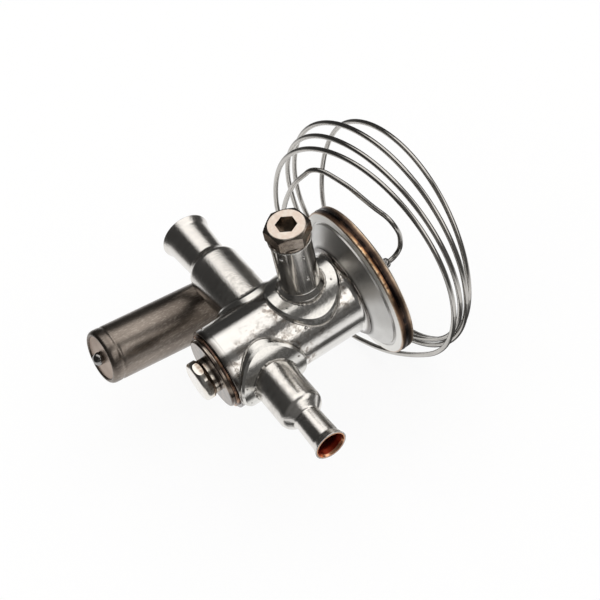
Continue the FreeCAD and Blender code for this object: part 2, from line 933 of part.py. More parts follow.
def make_fill_stub():
    top = bulb_recess - fill_stub_length
    corners = [
        (bulb_recess, 0),
        (bulb_recess, fill_stub_radius + 0.5),
        (bulb_recess - 0.4, fill_stub_radius, 0.3),
        (top, fill_stub_radius),
        (top, 0),
    ]
    return turned(corners, bulb_end, bulb_axis())


def make_fill_bead():
    near = bulb_recess - fill_stub_length
    far = near - 1.7 * fill_bead_radius
    corners = [
        (near, 0),
        (near, fill_bead_radius, fill_bead_radius * 0.5),
        (far, fill_bead_radius, fill_bead_radius * 0.9),
        (far, 0),
    ]
    return turned(corners, bulb_end, bulb_axis())


def make_all():
    inlet_wall = (inlet_pipe_radius, inlet_neck_wall, inlet_mouth_growth, inlet_lip_growth)
    outlet_wall = (outlet_pipe_radius, outlet_neck_wall, outlet_mouth_growth, outlet_lip_growth)
    inlet_bell = (inlet_bell_radius, inlet_bell_end, inlet_shoulder_length)
    outlet_bell = (outlet_bell_radius, outlet_bell_end, outlet_shoulder_length)
    return {
        "body_tube": make_body_tube(),
        "inlet_saddle": make_saddle(0, -along_y, inlet_bell_radius),
        "outlet_saddle": make_saddle(outlet_offset, along_y, outlet_bell_radius),
        "boss_saddle": make_saddle(boss_offset, along_z, boss_foot_radius),
        "inlet_connector": make_connector(0, -along_y, inlet_reach, *inlet_bell, *inlet_wall),
        "outlet_connector": make_connector(outlet_offset, along_y, outlet_reach, *outlet_bell, *outlet_wall),
        "inlet_liner": make_liner(
            0, -along_y, inlet_reach, inlet_bell_end, inlet_shoulder_length, inlet_pipe_radius,
            inlet_lip_growth, inlet_socket_depth,
        ),
        "outlet_liner": make_liner(
            outlet_offset, along_y, outlet_reach, outlet_bell_end, outlet_shoulder_length, outlet_pipe_radius,
            outlet_lip_growth, outlet_socket_depth,
        ),
        "inlet_strainer": make_strainer(),
        "setting_boss": make_boss(),
        "setting_washer": make_washer(),
        "setting_spindle": make_spindle(),
        "spindle_seal_ring": make_ring(),
        "setting_wedge": make_wedge(),
        "spring_seat": make_spring_seat(),
        "superheat_spring": spring(
            seat_back_x, pad_back_x, main_spring_radius, main_spring_wire, main_spring_turns
        ),
        "pressure_pad": make_pressure_pad(),
        "push_rod": make_push_rod(),
        "rod_guide": make_rod_guide(),
        "orifice_insert": make_orifice_insert(),
        "valve_cone": make_valve_cone(),
        "cone_spring": spring(
            plug_face_x + plug_spigot_length - plug_bore_depth, orifice_x - cone_length, cone_spring_radius,
            cone_spring_wire, cone_spring_turns,
        ),
        "plug_gasket": make_plug_gasket(),
        "body_plug": make_plug(),
        "head_cup": make_head_cup(),
        "diaphragm": make_diaphragm(),
        "rim_braze": make_rim_braze(),
        "head_cover": make_head_cover(),
        "capillary_ferrule": make_ferrule(),
        "capillary_tube": make_capillary(),
        "bulb_shell": make_bulb_shell(),
        "bulb_end_disc": make_bulb_disc(),
        "bulb_fill_stub": make_fill_stub(),
        "bulb_fill_bead": make_fill_bead(),
    }


os.makedirs("parts", exist_ok=True)
for name, shape in make_all().items():
    solid = shape.Solids[0] if len(shape.Solids) == 1 else shape
    print(name, len(shape.Solids), shape.isValid(), round(shape.Volume, 2))
    solid.exportStep("parts/" + name + ".step")
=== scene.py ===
import bmesh
import bpy
import numpy as np
from mathutils import Matrix, Vector


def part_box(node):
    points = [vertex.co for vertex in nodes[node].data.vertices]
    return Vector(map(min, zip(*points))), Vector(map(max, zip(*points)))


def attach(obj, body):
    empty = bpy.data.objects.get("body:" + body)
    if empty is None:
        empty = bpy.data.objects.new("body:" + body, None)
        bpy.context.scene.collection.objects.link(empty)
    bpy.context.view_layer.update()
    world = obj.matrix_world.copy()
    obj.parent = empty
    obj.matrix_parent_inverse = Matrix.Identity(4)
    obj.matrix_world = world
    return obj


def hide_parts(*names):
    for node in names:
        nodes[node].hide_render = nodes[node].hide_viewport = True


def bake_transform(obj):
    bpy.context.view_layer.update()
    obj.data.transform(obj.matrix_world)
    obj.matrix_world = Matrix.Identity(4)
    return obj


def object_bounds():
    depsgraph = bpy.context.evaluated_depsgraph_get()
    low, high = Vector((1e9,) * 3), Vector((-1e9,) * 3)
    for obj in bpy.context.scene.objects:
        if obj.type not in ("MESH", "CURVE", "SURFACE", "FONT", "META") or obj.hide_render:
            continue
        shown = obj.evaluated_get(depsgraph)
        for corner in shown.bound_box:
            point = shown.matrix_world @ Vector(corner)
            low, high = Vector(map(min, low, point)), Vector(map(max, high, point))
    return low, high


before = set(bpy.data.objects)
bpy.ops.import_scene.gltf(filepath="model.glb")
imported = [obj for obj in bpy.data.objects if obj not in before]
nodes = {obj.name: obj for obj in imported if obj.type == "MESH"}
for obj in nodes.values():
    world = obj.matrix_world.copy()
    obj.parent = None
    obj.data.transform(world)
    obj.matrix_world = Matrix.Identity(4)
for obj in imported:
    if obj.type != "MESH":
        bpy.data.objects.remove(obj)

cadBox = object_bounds()
mm = 0.001
print("frame loaded,", len(nodes), "nodes")


camera = {
    "place": (-0.083154, -0.201344, 0.335556),
    "right": (0.8208081, -0.55105357, -0.15037964),
    "up": (0.51827683, 0.60780339, 0.60163458),
    "back": (-0.24013163, -0.57176481, 0.78448824),
    "lens": 95.408,
    "sensor": 36.0,
}

lens = bpy.data.cameras.new("studioCamera")
lens.lens = camera["lens"]
lens.sensor_width = camera["sensor"]
lens.clip_start = 0.01
lens.clip_end = 20.0
cameraObject = bpy.data.objects.new("studioCamera", lens)
turn = Matrix((camera["right"], camera["up"], camera["back"])).transposed().to_4x4()
cameraObject.matrix_world = Matrix.Translation(camera["place"]) @ turn
bpy.context.scene.collection.objects.link(cameraObject)
bpy.context.scene.camera = cameraObject
bpy.context.scene.view_settings.view_transform = "Standard"


# One shader node: its settings, then its inputs, each a link if a socket is given.
def addNode(tree, kind, inputs=None, **settings):
    node = tree.nodes.new(kind)
    for name, value in settings.items():
        setattr(node, name, value)
    for name, value in (inputs or {}).items():
        if isinstance(value, bpy.types.NodeSocket):
            tree.links.new(value, node.inputs[name])
        else:
            node.inputs[name].default_value = value
    return node


# What an operation makes of two values, each a number or a socket.
def maths(tree, operation, first, second):
    return addNode(tree, "ShaderNodeMath", {0: first, 1: second}, operation=operation).outputs[0]


# 1 for rays that show the white room: from the camera, off metal and through glass.
def whiteRays(tree):
    rays = addNode(tree, "ShaderNodeLightPath").outputs
    first = maths(tree, "MAXIMUM", rays["Is Camera Ray"], rays["Is Glossy Ray"])
    return maths(tree, "MAXIMUM", first, rays["Is Transmission Ray"])


room = {"white": 1.0, "fill": 1.15}   # what rays that show the room see, and what it gives to matt surfaces

world = bpy.data.worlds.new("whiteRoom")
bpy.context.scene.world = world
world.use_nodes = True
world.node_tree.nodes.clear()
strength = addNode(world.node_tree, "ShaderNodeMapRange", {
    "Value": whiteRays(world.node_tree), "To Min": room["fill"], "To Max": room["white"]})
sky = addNode(world.node_tree, "ShaderNodeBackground", {"Color": (1, 1, 1, 1), "Strength": strength.outputs[0]})
addNode(world.node_tree, "ShaderNodeOutputWorld", {"Surface": sky.outputs[0]})


# Mesh of a grid of points of shape (rows, columns, 3), its rows or columns joined up where wrapped.
def gridMesh(name, grid, wrapU=False, wrapV=False):
    rows, columns = grid.shape[:2]
    index = np.arange(rows * columns).reshape(rows, columns)
    below = np.roll(index, -1, 0) if wrapU else index[1:]
    here = index if wrapU else index[:-1]
    quads = np.stack([here, below, np.roll(below, -1, 1), np.roll(here, -1, 1)], -1)
    if not wrapV:
        quads = quads[:, :-1]
    mesh = bpy.data.meshes.new(name)
    mesh.from_pydata(grid.reshape(-1, 3), [], quads.reshape(-1, 4).tolist())
    mesh.shade_smooth()
    return mesh


# Object at the origin with the mesh, its doubles merged and its faces turned outwards.
def placeMesh(name, mesh, material, body=None):
    clean = bmesh.new()
    clean.from_mesh(mesh)
    bmesh.ops.remove_doubles(clean, verts=clean.verts, dist=1e-7)
    bmesh.ops.recalc_face_normals(clean, faces=clean.faces)
    clean.to_mesh(mesh)
    clean.free()
    mesh.shade_smooth()
    piece = bpy.data.objects.new(name, mesh)
    bpy.context.scene.collection.objects.link(piece)
    mesh.materials.append(material)
    if body:
        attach(piece, body)
    return piece


floor = {"half": 3.0, "drop": 0.0002, "paint": 0.98, "shadow": 0.14}   # shadow: how much of its white the lamps give

floorLook = bpy.data.materials.new("paleFloor")
floorLook.use_nodes = True
floorTree = floorLook.node_tree
floorTree.nodes.clear()
paint = addNode(floorTree, "ShaderNodeBsdfDiffuse", {"Color": (floor["paint"], floor["paint"], floor["paint"], 1)})
glow = addNode(floorTree, "ShaderNodeEmission", {"Color": (1, 1, 1, 1), "Strength": 1.0})
share = maths(floorTree, "MULTIPLY", whiteRays(floorTree), 1 - floor["shadow"])
both = addNode(floorTree, "ShaderNodeMixShader", {0: share, 1: paint.outputs[0], 2: glow.outputs[0]})
addNode(floorTree, "ShaderNodeOutputMaterial", {"Surface": both.outputs[0]})
side = np.linspace(-floor["half"], floor["half"], 3)
floorX, floorY = np.meshgrid(side, side, indexing="ij")
floorZ = np.full_like(floorX, cadBox[0].z - floor["drop"])
placeMesh("paleFloor", gridMesh("paleFloor", np.stack([floorX, floorY, floorZ], -1)), floorLook)


# Finish of a studio card: it glows by the mesh's glow attribute, and is clear where its cover attribute is 0.
def cardLook(name):
    look = bpy.data.materials.new(name)
    look.use_nodes = True
    tree = look.node_tree
    tree.nodes.clear()
    glow = addNode(tree, "ShaderNodeAttribute", attribute_name="glow").outputs["Fac"]
    cover = addNode(tree, "ShaderNodeAttribute", attribute_name="cover").outputs["Fac"]
    shine = addNode(tree, "ShaderNodeEmission", {"Color": (1, 0.985, 0.965, 1), "Strength": glow})
    clear = addNode(tree, "ShaderNodeBsdfTransparent")
    mixed = addNode(tree, "ShaderNodeMixShader", {0: cover, 1: clear.outputs[0], 2: shine.outputs[0]})
    addNode(tree, "ShaderNodeOutputMaterial", {"Surface": mixed.outputs[0]})
    return look


# Smooth step from 0 at start to 1 at end.
def rise(value, start, end):
    share = np.clip((value - start) / (end - start), 0, 1)
    return share * share * (3 - 2 * share)


# 1 between the two middle limits, with a smooth step down to 0 at each outer one.
def window(value, limits):
    return rise(value, limits[0], limits[1]) * rise(-value, -limits[3], -limits[2])


# Grid of two values, each in even steps from the first of its limits to the last.
def spread(first, firstCount, second, secondCount):
    firstSteps = np.linspace(first[0], first[-1], firstCount)
    secondSteps = np.linspace(second[0], second[-1], secondCount)
    return np.meshgrid(firstSteps, secondSteps, indexing="ij")


# Card of a grid of points, with how much it glows and covers at each. Cards that light also reach matt surfaces.
def studioCard(name, grid, glow, cover, look, lights):
    mesh = gridMesh(name, grid)
    for attribute, values in (("glow", glow), ("cover", cover)):
        layer = mesh.attributes.new(attribute, "FLOAT", "POINT")
        layer.data.foreach_set("value", np.broadcast_to(values, grid.shape[:2]).astype(float).ravel())
    card = bpy.data.objects.new(name, mesh)
    bpy.context.scene.collection.objects.link(card)
    mesh.materials.append(look)
    card.visible_camera = False
    card.visible_shadow = False
    card.visible_transmission = False
    card.visible_diffuse = lights
    return card


studio = {
    "middle": (0.016, 0.036),
    "top": {"height": 0.60, "x": (-0.26, 0.02, 0.70, 0.98), "y": (-0.16, -0.02, 0.48, 0.88), "glow": 1.35},
    "front": {"radius": 0.60, "azimuth": (-97, -84, -14, 4), "z": (0.14, 0.26, 0.56, 0.80), "glow": 1.35},
    "dome": {"radius": 1.6, "front": 0.12, "back": 0.045, "turn": 0.17, "fade": 0.4},
    "table": {"first": 0.002, "far": (0.08, 0.22), "glow": 0.08},
    "paintedShadowStrip": {"reach": (0.05, 0.08), "y": (-0.030, -0.016, 0.000, 0.012)},   # painted shadow: where the table is dark near the valve, seen only in reflections
    # painted shadow: where the table is dark under the capillary coil, seen only in reflections
    "paintedCoilShadow": {"x": (0.036, 0.044, 0.078, 0.090), "y": (-0.02, -0.005, 0.056, 0.072)},
}
cards = cardLook("studioCard")

top = studio["top"]
x, y = spread(top["x"], 40, top["y"], 40)
level = window(x, top["x"]) * window(y, top["y"])
topGrid = np.stack([x, y, np.full_like(x, top["height"])], -1)
studioCard("topSoftbox", topGrid, level * top["glow"], 1.0, cards, True)

front = studio["front"]
azimuth, z = spread(front["azimuth"], 60, front["z"], 24)
level = window(azimuth, front["azimuth"]) * window(z, front["z"])
x = studio["middle"][0] + front["radius"] * np.cos(np.radians(azimuth))
y = studio["middle"][1] + front["radius"] * np.sin(np.radians(azimuth))
studioCard("frontSoftbox", np.stack([x, y, z], -1), level * front["glow"], 1.0, cards, True)

dome = studio["dome"]
azimuth, height = spread((0, 2 * np.pi), 73, (0, np.pi / 2), 19)
x = dome["radius"] * np.cos(azimuth) * np.cos(height)
y = dome["radius"] * np.sin(azimuth) * np.cos(height)
z = cadBox[0].z + dome["radius"] * np.sin(height)
level = dome["back"] + (dome["front"] - dome["back"]) * rise(-np.sin(azimuth - dome["turn"]), 0.0, dome["fade"])
studioCard("darkDome", np.stack([x, y, z], -1), level, 1.0, cards, False)

table, paintedShadowStrip, paintedCoilShadow = studio["table"], studio["paintedShadowStrip"], studio["paintedCoilShadow"]
around, outward = np.linspace(0, 2 * np.pi, 97), np.geomspace(table["first"], dome["radius"], 90)
azimuth, reach = np.meshgrid(around, outward, indexing="ij")
x = studio["middle"][0] + reach * np.cos(azimuth)
y = studio["middle"][1] + reach * np.sin(azimuth)
# painted shadow: dark patches on the table near the valve and under the coil, which only reflections show
paintedShadowStripCover = window(y, paintedShadowStrip["y"]) * rise(-abs(x), -paintedShadowStrip["reach"][1], -paintedShadowStrip["reach"][0])
paintedCoilShadowCover = window(x, paintedCoilShadow["x"]) * window(y, paintedCoilShadow["y"])
cover = np.maximum(np.maximum(rise(reach, *table["far"]), paintedShadowStripCover), paintedCoilShadowCover)
tableGrid = np.stack([x, y, np.full_like(x, cadBox[0].z - floor["drop"] / 2)], -1)
studioCard("darkTableWithPaintedShadow", tableGrid, table["glow"], cover, cards, False)
print("camera, softboxes, floor and dark cards placed")


# Material with a Principled shader, and the place on the object that its patterns read.
def startFinish(name):
    material = bpy.data.materials.new(name)
    material.use_nodes = True
    tree = material.node_tree
    tree.nodes.clear()
    shader = addNode(tree, "ShaderNodeBsdfPrincipled")
    addNode(tree, "ShaderNodeOutputMaterial", {"Surface": shader.outputs[0]})
    place = addNode(tree, "ShaderNodeTexCoord").outputs["Object"]
    return material, tree, shader, place


# Joins a finish's colour, roughness and relief to its shader. Depth turns the relief's height into metres.
def endFinish(tree, shader, colour, rough, height, depth=1.0, metallic=1.0):
    shader.inputs["Metallic"].default_value = metallic
    tree.links.new(colour, shader.inputs["Base Color"])
    tree.links.new(rough, shader.inputs["Roughness"])
    relief = addNode(tree, "ShaderNodeBump", {"Height": height, "Distance": depth, "Strength": 1.0})
    tree.links.new(relief.outputs[0], shader.inputs["Normal"])


# One coordinate of a place: 0 is X, 1 is Y and 2 is Z.
def coordinate(tree, place, number):
    return addNode(tree, "ShaderNodeSeparateXYZ", {0: place}).outputs[number]


# What an operation makes of two vectors: a number for a distance or a dot product, or else a vector.
def vectors(tree, operation, first, second):
    node = addNode(tree, "ShaderNodeVectorMath", {0: first, 1: second}, operation=operation)
    return node.outputs["Value" if operation in ("DISTANCE", "DOT_PRODUCT") else "Vector"]


# Noise from 0 to 1 with its own scale along each axis, in features a metre.
def noise(tree, place, scale, detail, turn=(0, 0, 0)):
    scales = scale if isinstance(scale, tuple) else (scale, scale, scale)
    moved = addNode(tree, "ShaderNodeMapping", {"Vector": place, "Scale": scales, "Rotation": turn})
    inputs = {"Vector": moved.outputs[0], "Scale": 1.0, "Detail": detail}
    return addNode(tree, "ShaderNodeTexNoise", inputs).outputs[0]


# A noise moved to lie on both sides of 0, and made as wide as given. It makes an edge uneven.
def sway(tree, value, width):
    return maths(tree, "MULTIPLY", maths(tree, "SUBTRACT", value, 0.5), width)


# value carried from low..high to start..end, and held there outside.
def between(tree, value, low, high, start=0.0, end=1.0, smooth=False):
    limits = {"Value": value, "From Min": low, "From Max": high, "To Min": start, "To Max": end}
    kind = "SMOOTHSTEP" if smooth else "LINEAR"
    return addNode(tree, "ShaderNodeMapRange", limits, interpolation_type=kind).outputs[0]


# 1 between the two middle limits, falling in a straight line to 0 at each outer one.
def within(tree, value, limits):
    rising = between(tree, value, limits[0], limits[1])
    return maths(tree, "MULTIPLY", rising, between(tree, value, limits[2], limits[3], 1.0, 0.0))


# First colour at factor 0, second at 1. Fixed colours are given as three numbers.
def mixColour(tree, factor, first, second, blend="MIX"):
    node = addNode(tree, "ShaderNodeMix", {"Factor": factor}, data_type="RGBA", blend_type=blend)
    for socket, value in ((node.inputs[6], first), (node.inputs[7], second)):
        if isinstance(value, bpy.types.NodeSocket):
            tree.links.new(value, socket)
        else:
            socket.default_value = (*value, 1.0)
    return node.outputs[2]


# Colour by value, from stops of (position, colour).
def ramp(tree, value, stops):
    node = addNode(tree, "ShaderNodeValToRGB", {"Fac": value})
    while len(node.color_ramp.elements) < len(stops):
        node.color_ramp.elements.new(0.5)
    for element, (position, colour) in zip(node.color_ramp.elements, stops):
        element.position = position
        element.color = (*colour, 1.0)
    return node.outputs[0]


heat = {
    "spots": [   # where the connectors and the boss were brazed in: centre, inner radius and outer radius
        ((0.0188, 0.0383, 0.0117), 0.0100, 0.0155),
        ((0.0, 0.0266, 0.0), 0.0105, 0.0165),
        ((0.0073, 0.0500, 0.0), 0.0100, 0.0150),
    ],
    "wobble": 0.007,      # how uneven the spots' edges are
    "patches": 750.0,     # patches of tint a metre
    "tint": [(0.36, (0.30, 0.265, 0.235)), (0.45, (0.57, 0.525, 0.475)),
             (0.52, (0.80, 0.77, 0.73)), (0.70, (0.87, 0.84, 0.80))],
    "rough": 0.12,
    "depth": 0.00007,
}
bodyEndShade = {   # painted shade: the dark ring at each end of the body tube, where it meets the plug and the head's cup
    "start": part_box("body_tube")[0].x + 0.3 * mm,
    "startWidth": 1.7 * mm,
    "startSway": 1.2 * mm,
    "neck": 29.85 * mm,
    "neckWidth": 0.6 * mm,
    "dark": (0.10, 0.085, 0.075),
}


# 1 near the heated spots and 0 away from them.
def heatedPlaces(tree, place):
    uneven = sway(tree, noise(tree, place, 260.0, 4.0), heat["wobble"])
    total = None
    for centre, inner, outer in heat["spots"]:
        away = maths(tree, "ADD", vectors(tree, "DISTANCE", place, centre), uneven)
        mask = between(tree, away, inner, outer, 1.0, 0.0, smooth=True)
        total = mask if total is None else maths(tree, "MAXIMUM", total, mask)
    return total


# 1 in the painted shade rings at the two ends of the body tube.
def endShadeRings(tree, place, cloud):
    ends = bodyEndShade
    along = coordinate(tree, place, 0)
    uneven = maths(tree, "ADD", along, sway(tree, cloud, ends["startSway"]))
    first = between(tree, uneven, ends["start"], ends["start"] + ends["startWidth"], 0.86, 0.0, smooth=True)
    last = between(tree, along, ends["neck"] - ends["neckWidth"], ends["neck"], 0.0, 0.9, smooth=True)
    return maths(tree, "MAXIMUM", first, last)


# Bright metal with fine lines and faint clouds. Round the brazed ports heat has left it uneven, with small brown
# patches, and the body tube has painted shade: darker rings at its ends.
def polishedFinish(name, look):
    material, tree, shader, place = startFinish(name)
    lines = noise(tree, place, look["lines"], 3.0)
    cloud = noise(tree, place, 130.0, 5.0)
    lineTone = between(tree, lines, 0.3, 0.7, 1.0 - look["lineShade"], 1.0)
    cloudTone = between(tree, cloud, 0.35, 0.65, 1.0 - look["cloudShade"], 1.0)
    tone = maths(tree, "MULTIPLY", lineTone, cloudTone)
    shade = addNode(tree, "ShaderNodeCombineColor", {0: tone, 1: tone, 2: tone}).outputs[0]
    colour = mixColour(tree, 1.0, look["colour"], shade, "MULTIPLY")
    rough = between(tree, maths(tree, "ADD", lines, cloud), 0.7, 1.3, look["rough"] * 0.75, look["rough"] * 1.35)
    height = maths(tree, "MULTIPLY", lines, look["lineDepth"])
    if look.get("heat"):
        patches = noise(tree, place, heat["patches"], 5.0)
        scale = maths(tree, "MULTIPLY", heatedPlaces(tree, place), look["heat"])
        colour = mixColour(tree, scale, colour, ramp(tree, patches, heat["tint"]))
        dull = between(tree, patches, 0.35, 0.6, heat["rough"], 0.0)
        rough = maths(tree, "ADD", rough, maths(tree, "MULTIPLY", scale, dull))
        depth = maths(tree, "MULTIPLY", scale, look.get("heatDepth", heat["depth"]))
        height = maths(tree, "ADD", height, maths(tree, "MULTIPLY", patches, depth))
    if look.get("paintedShadeEnds"):
        colour = mixColour(tree, endShadeRings(tree, place, cloud), colour, bodyEndShade["dark"])
    if look.get("grainDepth"):
        grain = noise(tree, place, 2000.0, 3.0)
        height = maths(tree, "ADD", height, maths(tree, "MULTIPLY", grain, look["grainDepth"]))
    endFinish(tree, shader, colour, rough, height)
    return material


# Lines are features a metre along each axis, and depths are in metres.
polished = {
    "bodySteel": {
        "colour": (0.84, 0.82, 0.79), "rough": 0.14, "cloudShade": 0.10, "heat": 1.0, "grainDepth": 0.000014,
        "lines": (40.0, 2300.0, 2300.0), "lineShade": 0.08, "lineDepth": 0.0000014, "paintedShadeEnds": True},
    "saddleSteel": {
        "colour": (0.82, 0.80, 0.76), "rough": 0.16, "cloudShade": 0.14, "grainDepth": 0.000014,
        "lines": 1100.0, "lineShade": 0.12, "lineDepth": 0.000012},
    "connectorSteel": {
        "colour": (0.84, 0.81, 0.77), "rough": 0.18, "cloudShade": 0.12, "heat": 0.20, "grainDepth": 0.000036,
        "lines": (35.0, 1600.0, 35.0), "lineShade": 0.08, "lineDepth": 0.0000022},
    "bossSteel": {
        "colour": (0.72, 0.69, 0.65), "rough": 0.13, "cloudShade": 0.18, "heat": 0.12, "heatDepth": 0.0001,
        "lines": (2300.0, 2300.0, 40.0), "lineShade": 0.12, "lineDepth": 0.0000025, "grainDepth": 0.000009},
    "drawnSteel": {
        "colour": (0.56, 0.54, 0.51), "rough": 0.15, "cloudShade": 0.14,
        "lines": 900.0, "lineShade": 0.0, "lineDepth": 0.0},
    "springSteel": {
        "colour": (0.52, 0.51, 0.50), "rough": 0.28, "cloudShade": 0.15,
        "lines": 1500.0, "lineShade": 0.12, "lineDepth": 0.000002},
    "turnedBrass": {
        "colour": (0.78, 0.58, 0.28), "rough": 0.22, "cloudShade": 0.12,
        "lines": (2400.0, 40.0, 40.0), "lineShade": 0.10, "lineDepth": 0.000002},
    "weldSteel": {
        "colour": (0.62, 0.59, 0.55), "rough": 0.16, "cloudShade": 0.20,
        "lines": 1700.0, "lineShade": 0.35, "lineDepth": 0.00001},
    "dropSteel": {
        "colour": (0.66, 0.64, 0.61), "rough": 0.09, "cloudShade": 0.10,
        "lines": 1500.0, "lineShade": 0.10, "lineDepth": 0.000002},
    # painted shade: this steel is coloured much darker than the rest, for the bulb's bead and the ferrule's braze
    "beadSteelPaintedShade": {
        "colour": (0.36, 0.35, 0.34), "rough": 0.05, "cloudShade": 0.10,
        "lines": 1500.0, "lineShade": 0.15, "lineDepth": 0.000002},
}
finishes = {name: polishedFinish(name, look) for name, look in polished.items()}


rim = {
    "front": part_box("head_cup")[1].x - 1.5 * mm,    # where the cup's flange turns over
    "back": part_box("head_cover")[0].x + 2.0 * mm,   # the far edge of the cover's flange
    "radius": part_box("head_cup")[1].z,
    "axisY": 38.3 * mm,
    "neck": 13.3 * mm,                              # radius where the cup leaves the body, inside which its neck has painted shade
    "stepWidth": 2.4 * mm,                          # the flat ring between the pressed step and the edge
    "paintedHighlight": (-7.0 * mm, -3.0 * mm, 10.0 * mm, 15.0 * mm),   # the stretch across the rim with a painted highlight of bright copper
    "paintedHighlightWay": (0, 0.711, 0.703),                  # the way in which that stretch is measured
    "paintedHighlightRing": (0.02, 0.09, 0.22, 0.34),          # and its share of the way from front to back
    "rings": [
        (0.00, (0.50, 0.38, 0.28)), (0.08, (0.30, 0.18, 0.11)), (0.22, (0.10, 0.055, 0.035)),
        (0.37, (0.05, 0.030, 0.022)), (0.41, (0.010, 0.008, 0.008)), (0.50, (0.010, 0.008, 0.008)),
        (0.58, (0.050, 0.034, 0.027)), (0.74, (0.12, 0.078, 0.055)), (0.84, (0.50, 0.36, 0.25)),
        (0.94, (0.84, 0.70, 0.55))],
    # painted highlight: the colours of the bright copper on one side of the rim
    "copper": [(0.05, (1.0, 0.86, 0.66)), (0.17, (1.0, 0.62, 0.32)), (0.32, (0.42, 0.13, 0.05))],
}


# The head's sheet steel: satin with a paler flange, and rings of oxide and copper round its rim, by distance along X.
# A stretch of bright copper on one side of the rim is a painted highlight, and the neck's dark ring is painted shade.
def rimFinish():
    material, tree, shader, place = startFinish("rimOxide")
    flat, middle = vectors(tree, "MULTIPLY", place, (0, 1, 1)), (0, rim["axisY"], 0)
    radius = vectors(tree, "DISTANCE", flat, middle)
    up = vectors(tree, "DOT_PRODUCT", vectors(tree, "SUBTRACT", flat, middle), rim["paintedHighlightWay"])
    lines = noise(tree, place, (1500.0, 45.0, 45.0), 3.0)
    cloud = noise(tree, place, 120.0, 5.0)
    patches = noise(tree, place, 420.0, 5.0)
    uneven = maths(tree, "ADD", coordinate(tree, place, 0), sway(tree, patches, 0.6 * mm))
    share = between(tree, uneven, rim["front"], rim["back"])
    # painted highlight: bright copper on one side of the rim only, along a fixed direction
    paintedHighlight = maths(tree, "MULTIPLY", within(tree, up, rim["paintedHighlight"]), within(tree, share, rim["paintedHighlightRing"]))
    paintedHighlight = maths(tree, "MULTIPLY", paintedHighlight, between(tree, patches, 0.40, 0.54))
    oxide = mixColour(tree, paintedHighlight, ramp(tree, share, rim["rings"]), ramp(tree, share, rim["copper"]))
    edge = between(tree, radius, rim["radius"] - 0.6 * mm, rim["radius"] - 0.25 * mm, smooth=True)
    step = rim["radius"] - rim["stepWidth"]
    flange = between(tree, radius, step - 0.3 * mm, step)
    # painted shade: the cup goes dark at its neck, where it meets the body
    neck = between(tree, radius, rim["neck"], rim["neck"] + 1.0 * mm, 0.88, 0.0, smooth=True)
    cone = mixColour(tree, between(tree, cloud, 0.35, 0.65), (0.56, 0.55, 0.53), (0.66, 0.65, 0.63))
    cone = mixColour(tree, neck, cone, (0.05, 0.045, 0.04))
    colour = mixColour(tree, edge, mixColour(tree, flange, cone, (0.90, 0.89, 0.86)), oxide)
    satin = maths(tree, "ADD", between(tree, lines, 0.3, 0.7, 0.29, 0.36), maths(tree, "MULTIPLY", flange, 0.18))
    rough = maths(tree, "SUBTRACT", satin, maths(tree, "MULTIPLY", edge, 0.16))
    flakes = maths(tree, "MULTIPLY", maths(tree, "MULTIPLY", patches, edge), 0.00005)
    endFinish(tree, shader, colour, rough, maths(tree, "ADD", maths(tree, "MULTIPLY", lines, 0.0000015), flakes))
    return material


# Copper, bright where it was rubbed and darker in clouds: the cloud noise has to pass start to be bright.
def copperFinish(name, bright, dark, rough, start):
    material, tree, shader, place = startFinish(name)
    cloud = noise(tree, place, 420.0, 4.0)
    fine = noise(tree, place, 2600.0, 2.0)
    colour = mixColour(tree, between(tree, cloud, start, start + 0.2), dark, bright)
    endFinish(tree, shader, colour, between(tree, fine, 0.3, 0.7, rough * 0.8, rough * 1.25), fine, 0.000006)
    return material


# The copper lining of a connector: painted shade makes it dull dark red inside, and the lip next to either mouth
# along Y keeps the brighter copper colour.
def linerFinish():
    material, tree, shader, place = startFinish("linerCopper")
    along = coordinate(tree, place, 1)
    fromInlet = maths(tree, "ADD", along, sway(tree, noise(tree, place, 500.0, 4.0), 0.6 * mm))
    depth = maths(tree, "MINIMUM", fromInlet, maths(tree, "SUBTRACT", cadBox[1].y, along))
    lip = between(tree, depth, 0.5 * mm, 0.9 * mm, 1.0, 0.0, smooth=True)
    cloud = noise(tree, place, (500.0, 160.0, 500.0), 4.0)
    paintedShadeRed = mixColour(tree, between(tree, cloud, 0.35, 0.65), (0.22, 0.026, 0.013), (0.39, 0.056, 0.025))
    colour = mixColour(tree, lip, paintedShadeRed, (0.92, 0.50, 0.30))
    endFinish(tree, shader, colour, between(tree, lip, 0.0, 1.0, 0.46, 0.24), cloud, 0.00001)
    return material


# Turned steel whose end face is satin and a little pink, below it polished flats whose dark colour is painted shade.
def spindleFinish():
    material, tree, shader, place = startFinish("spindleSteel")
    face = between(tree, coordinate(tree, place, 2), 36.85 * mm, 36.95 * mm)
    rub = noise(tree, place, (1500.0, 260.0, 260.0), 4.0)
    spots = noise(tree, place, 900.0, 4.0)
    satin = mixColour(tree, between(tree, spots, 0.40, 0.62), (0.84, 0.70, 0.60), (0.90, 0.80, 0.71))
    paintedShadeFlats = mixColour(tree, between(tree, spots, 0.35, 0.65), (0.29, 0.24, 0.20), (0.44, 0.38, 0.325))
    rough = maths(tree, "ADD", between(tree, rub, 0.3, 0.7, 0.14, 0.20), maths(tree, "MULTIPLY", face, 0.22))
    endFinish(tree, shader, mixColour(tree, face, paintedShadeFlats, satin), rough, rub, 0.000004)
    return material


bulbEnd = (-31.7, 68.8, -8.35)       # middle of the bulb's open end
bulbAlong = (0.977, 0.040, -0.211)   # the way into the bulb
bulbMarks = {
    "slant": (0.0, -0.213, 0.0),             # turns the patterns to lie along the bulb
    "darkSpot": (0.0030, 0.0650, -0.0080),     # the place nearest the outlet connector, around which the bulb is darker
    "darkSpotReach": (0.010, 0.024),
    "paintedCollarShade": (1.7 * mm, 2.5 * mm),          # how deep the painted shade at the open end goes
}
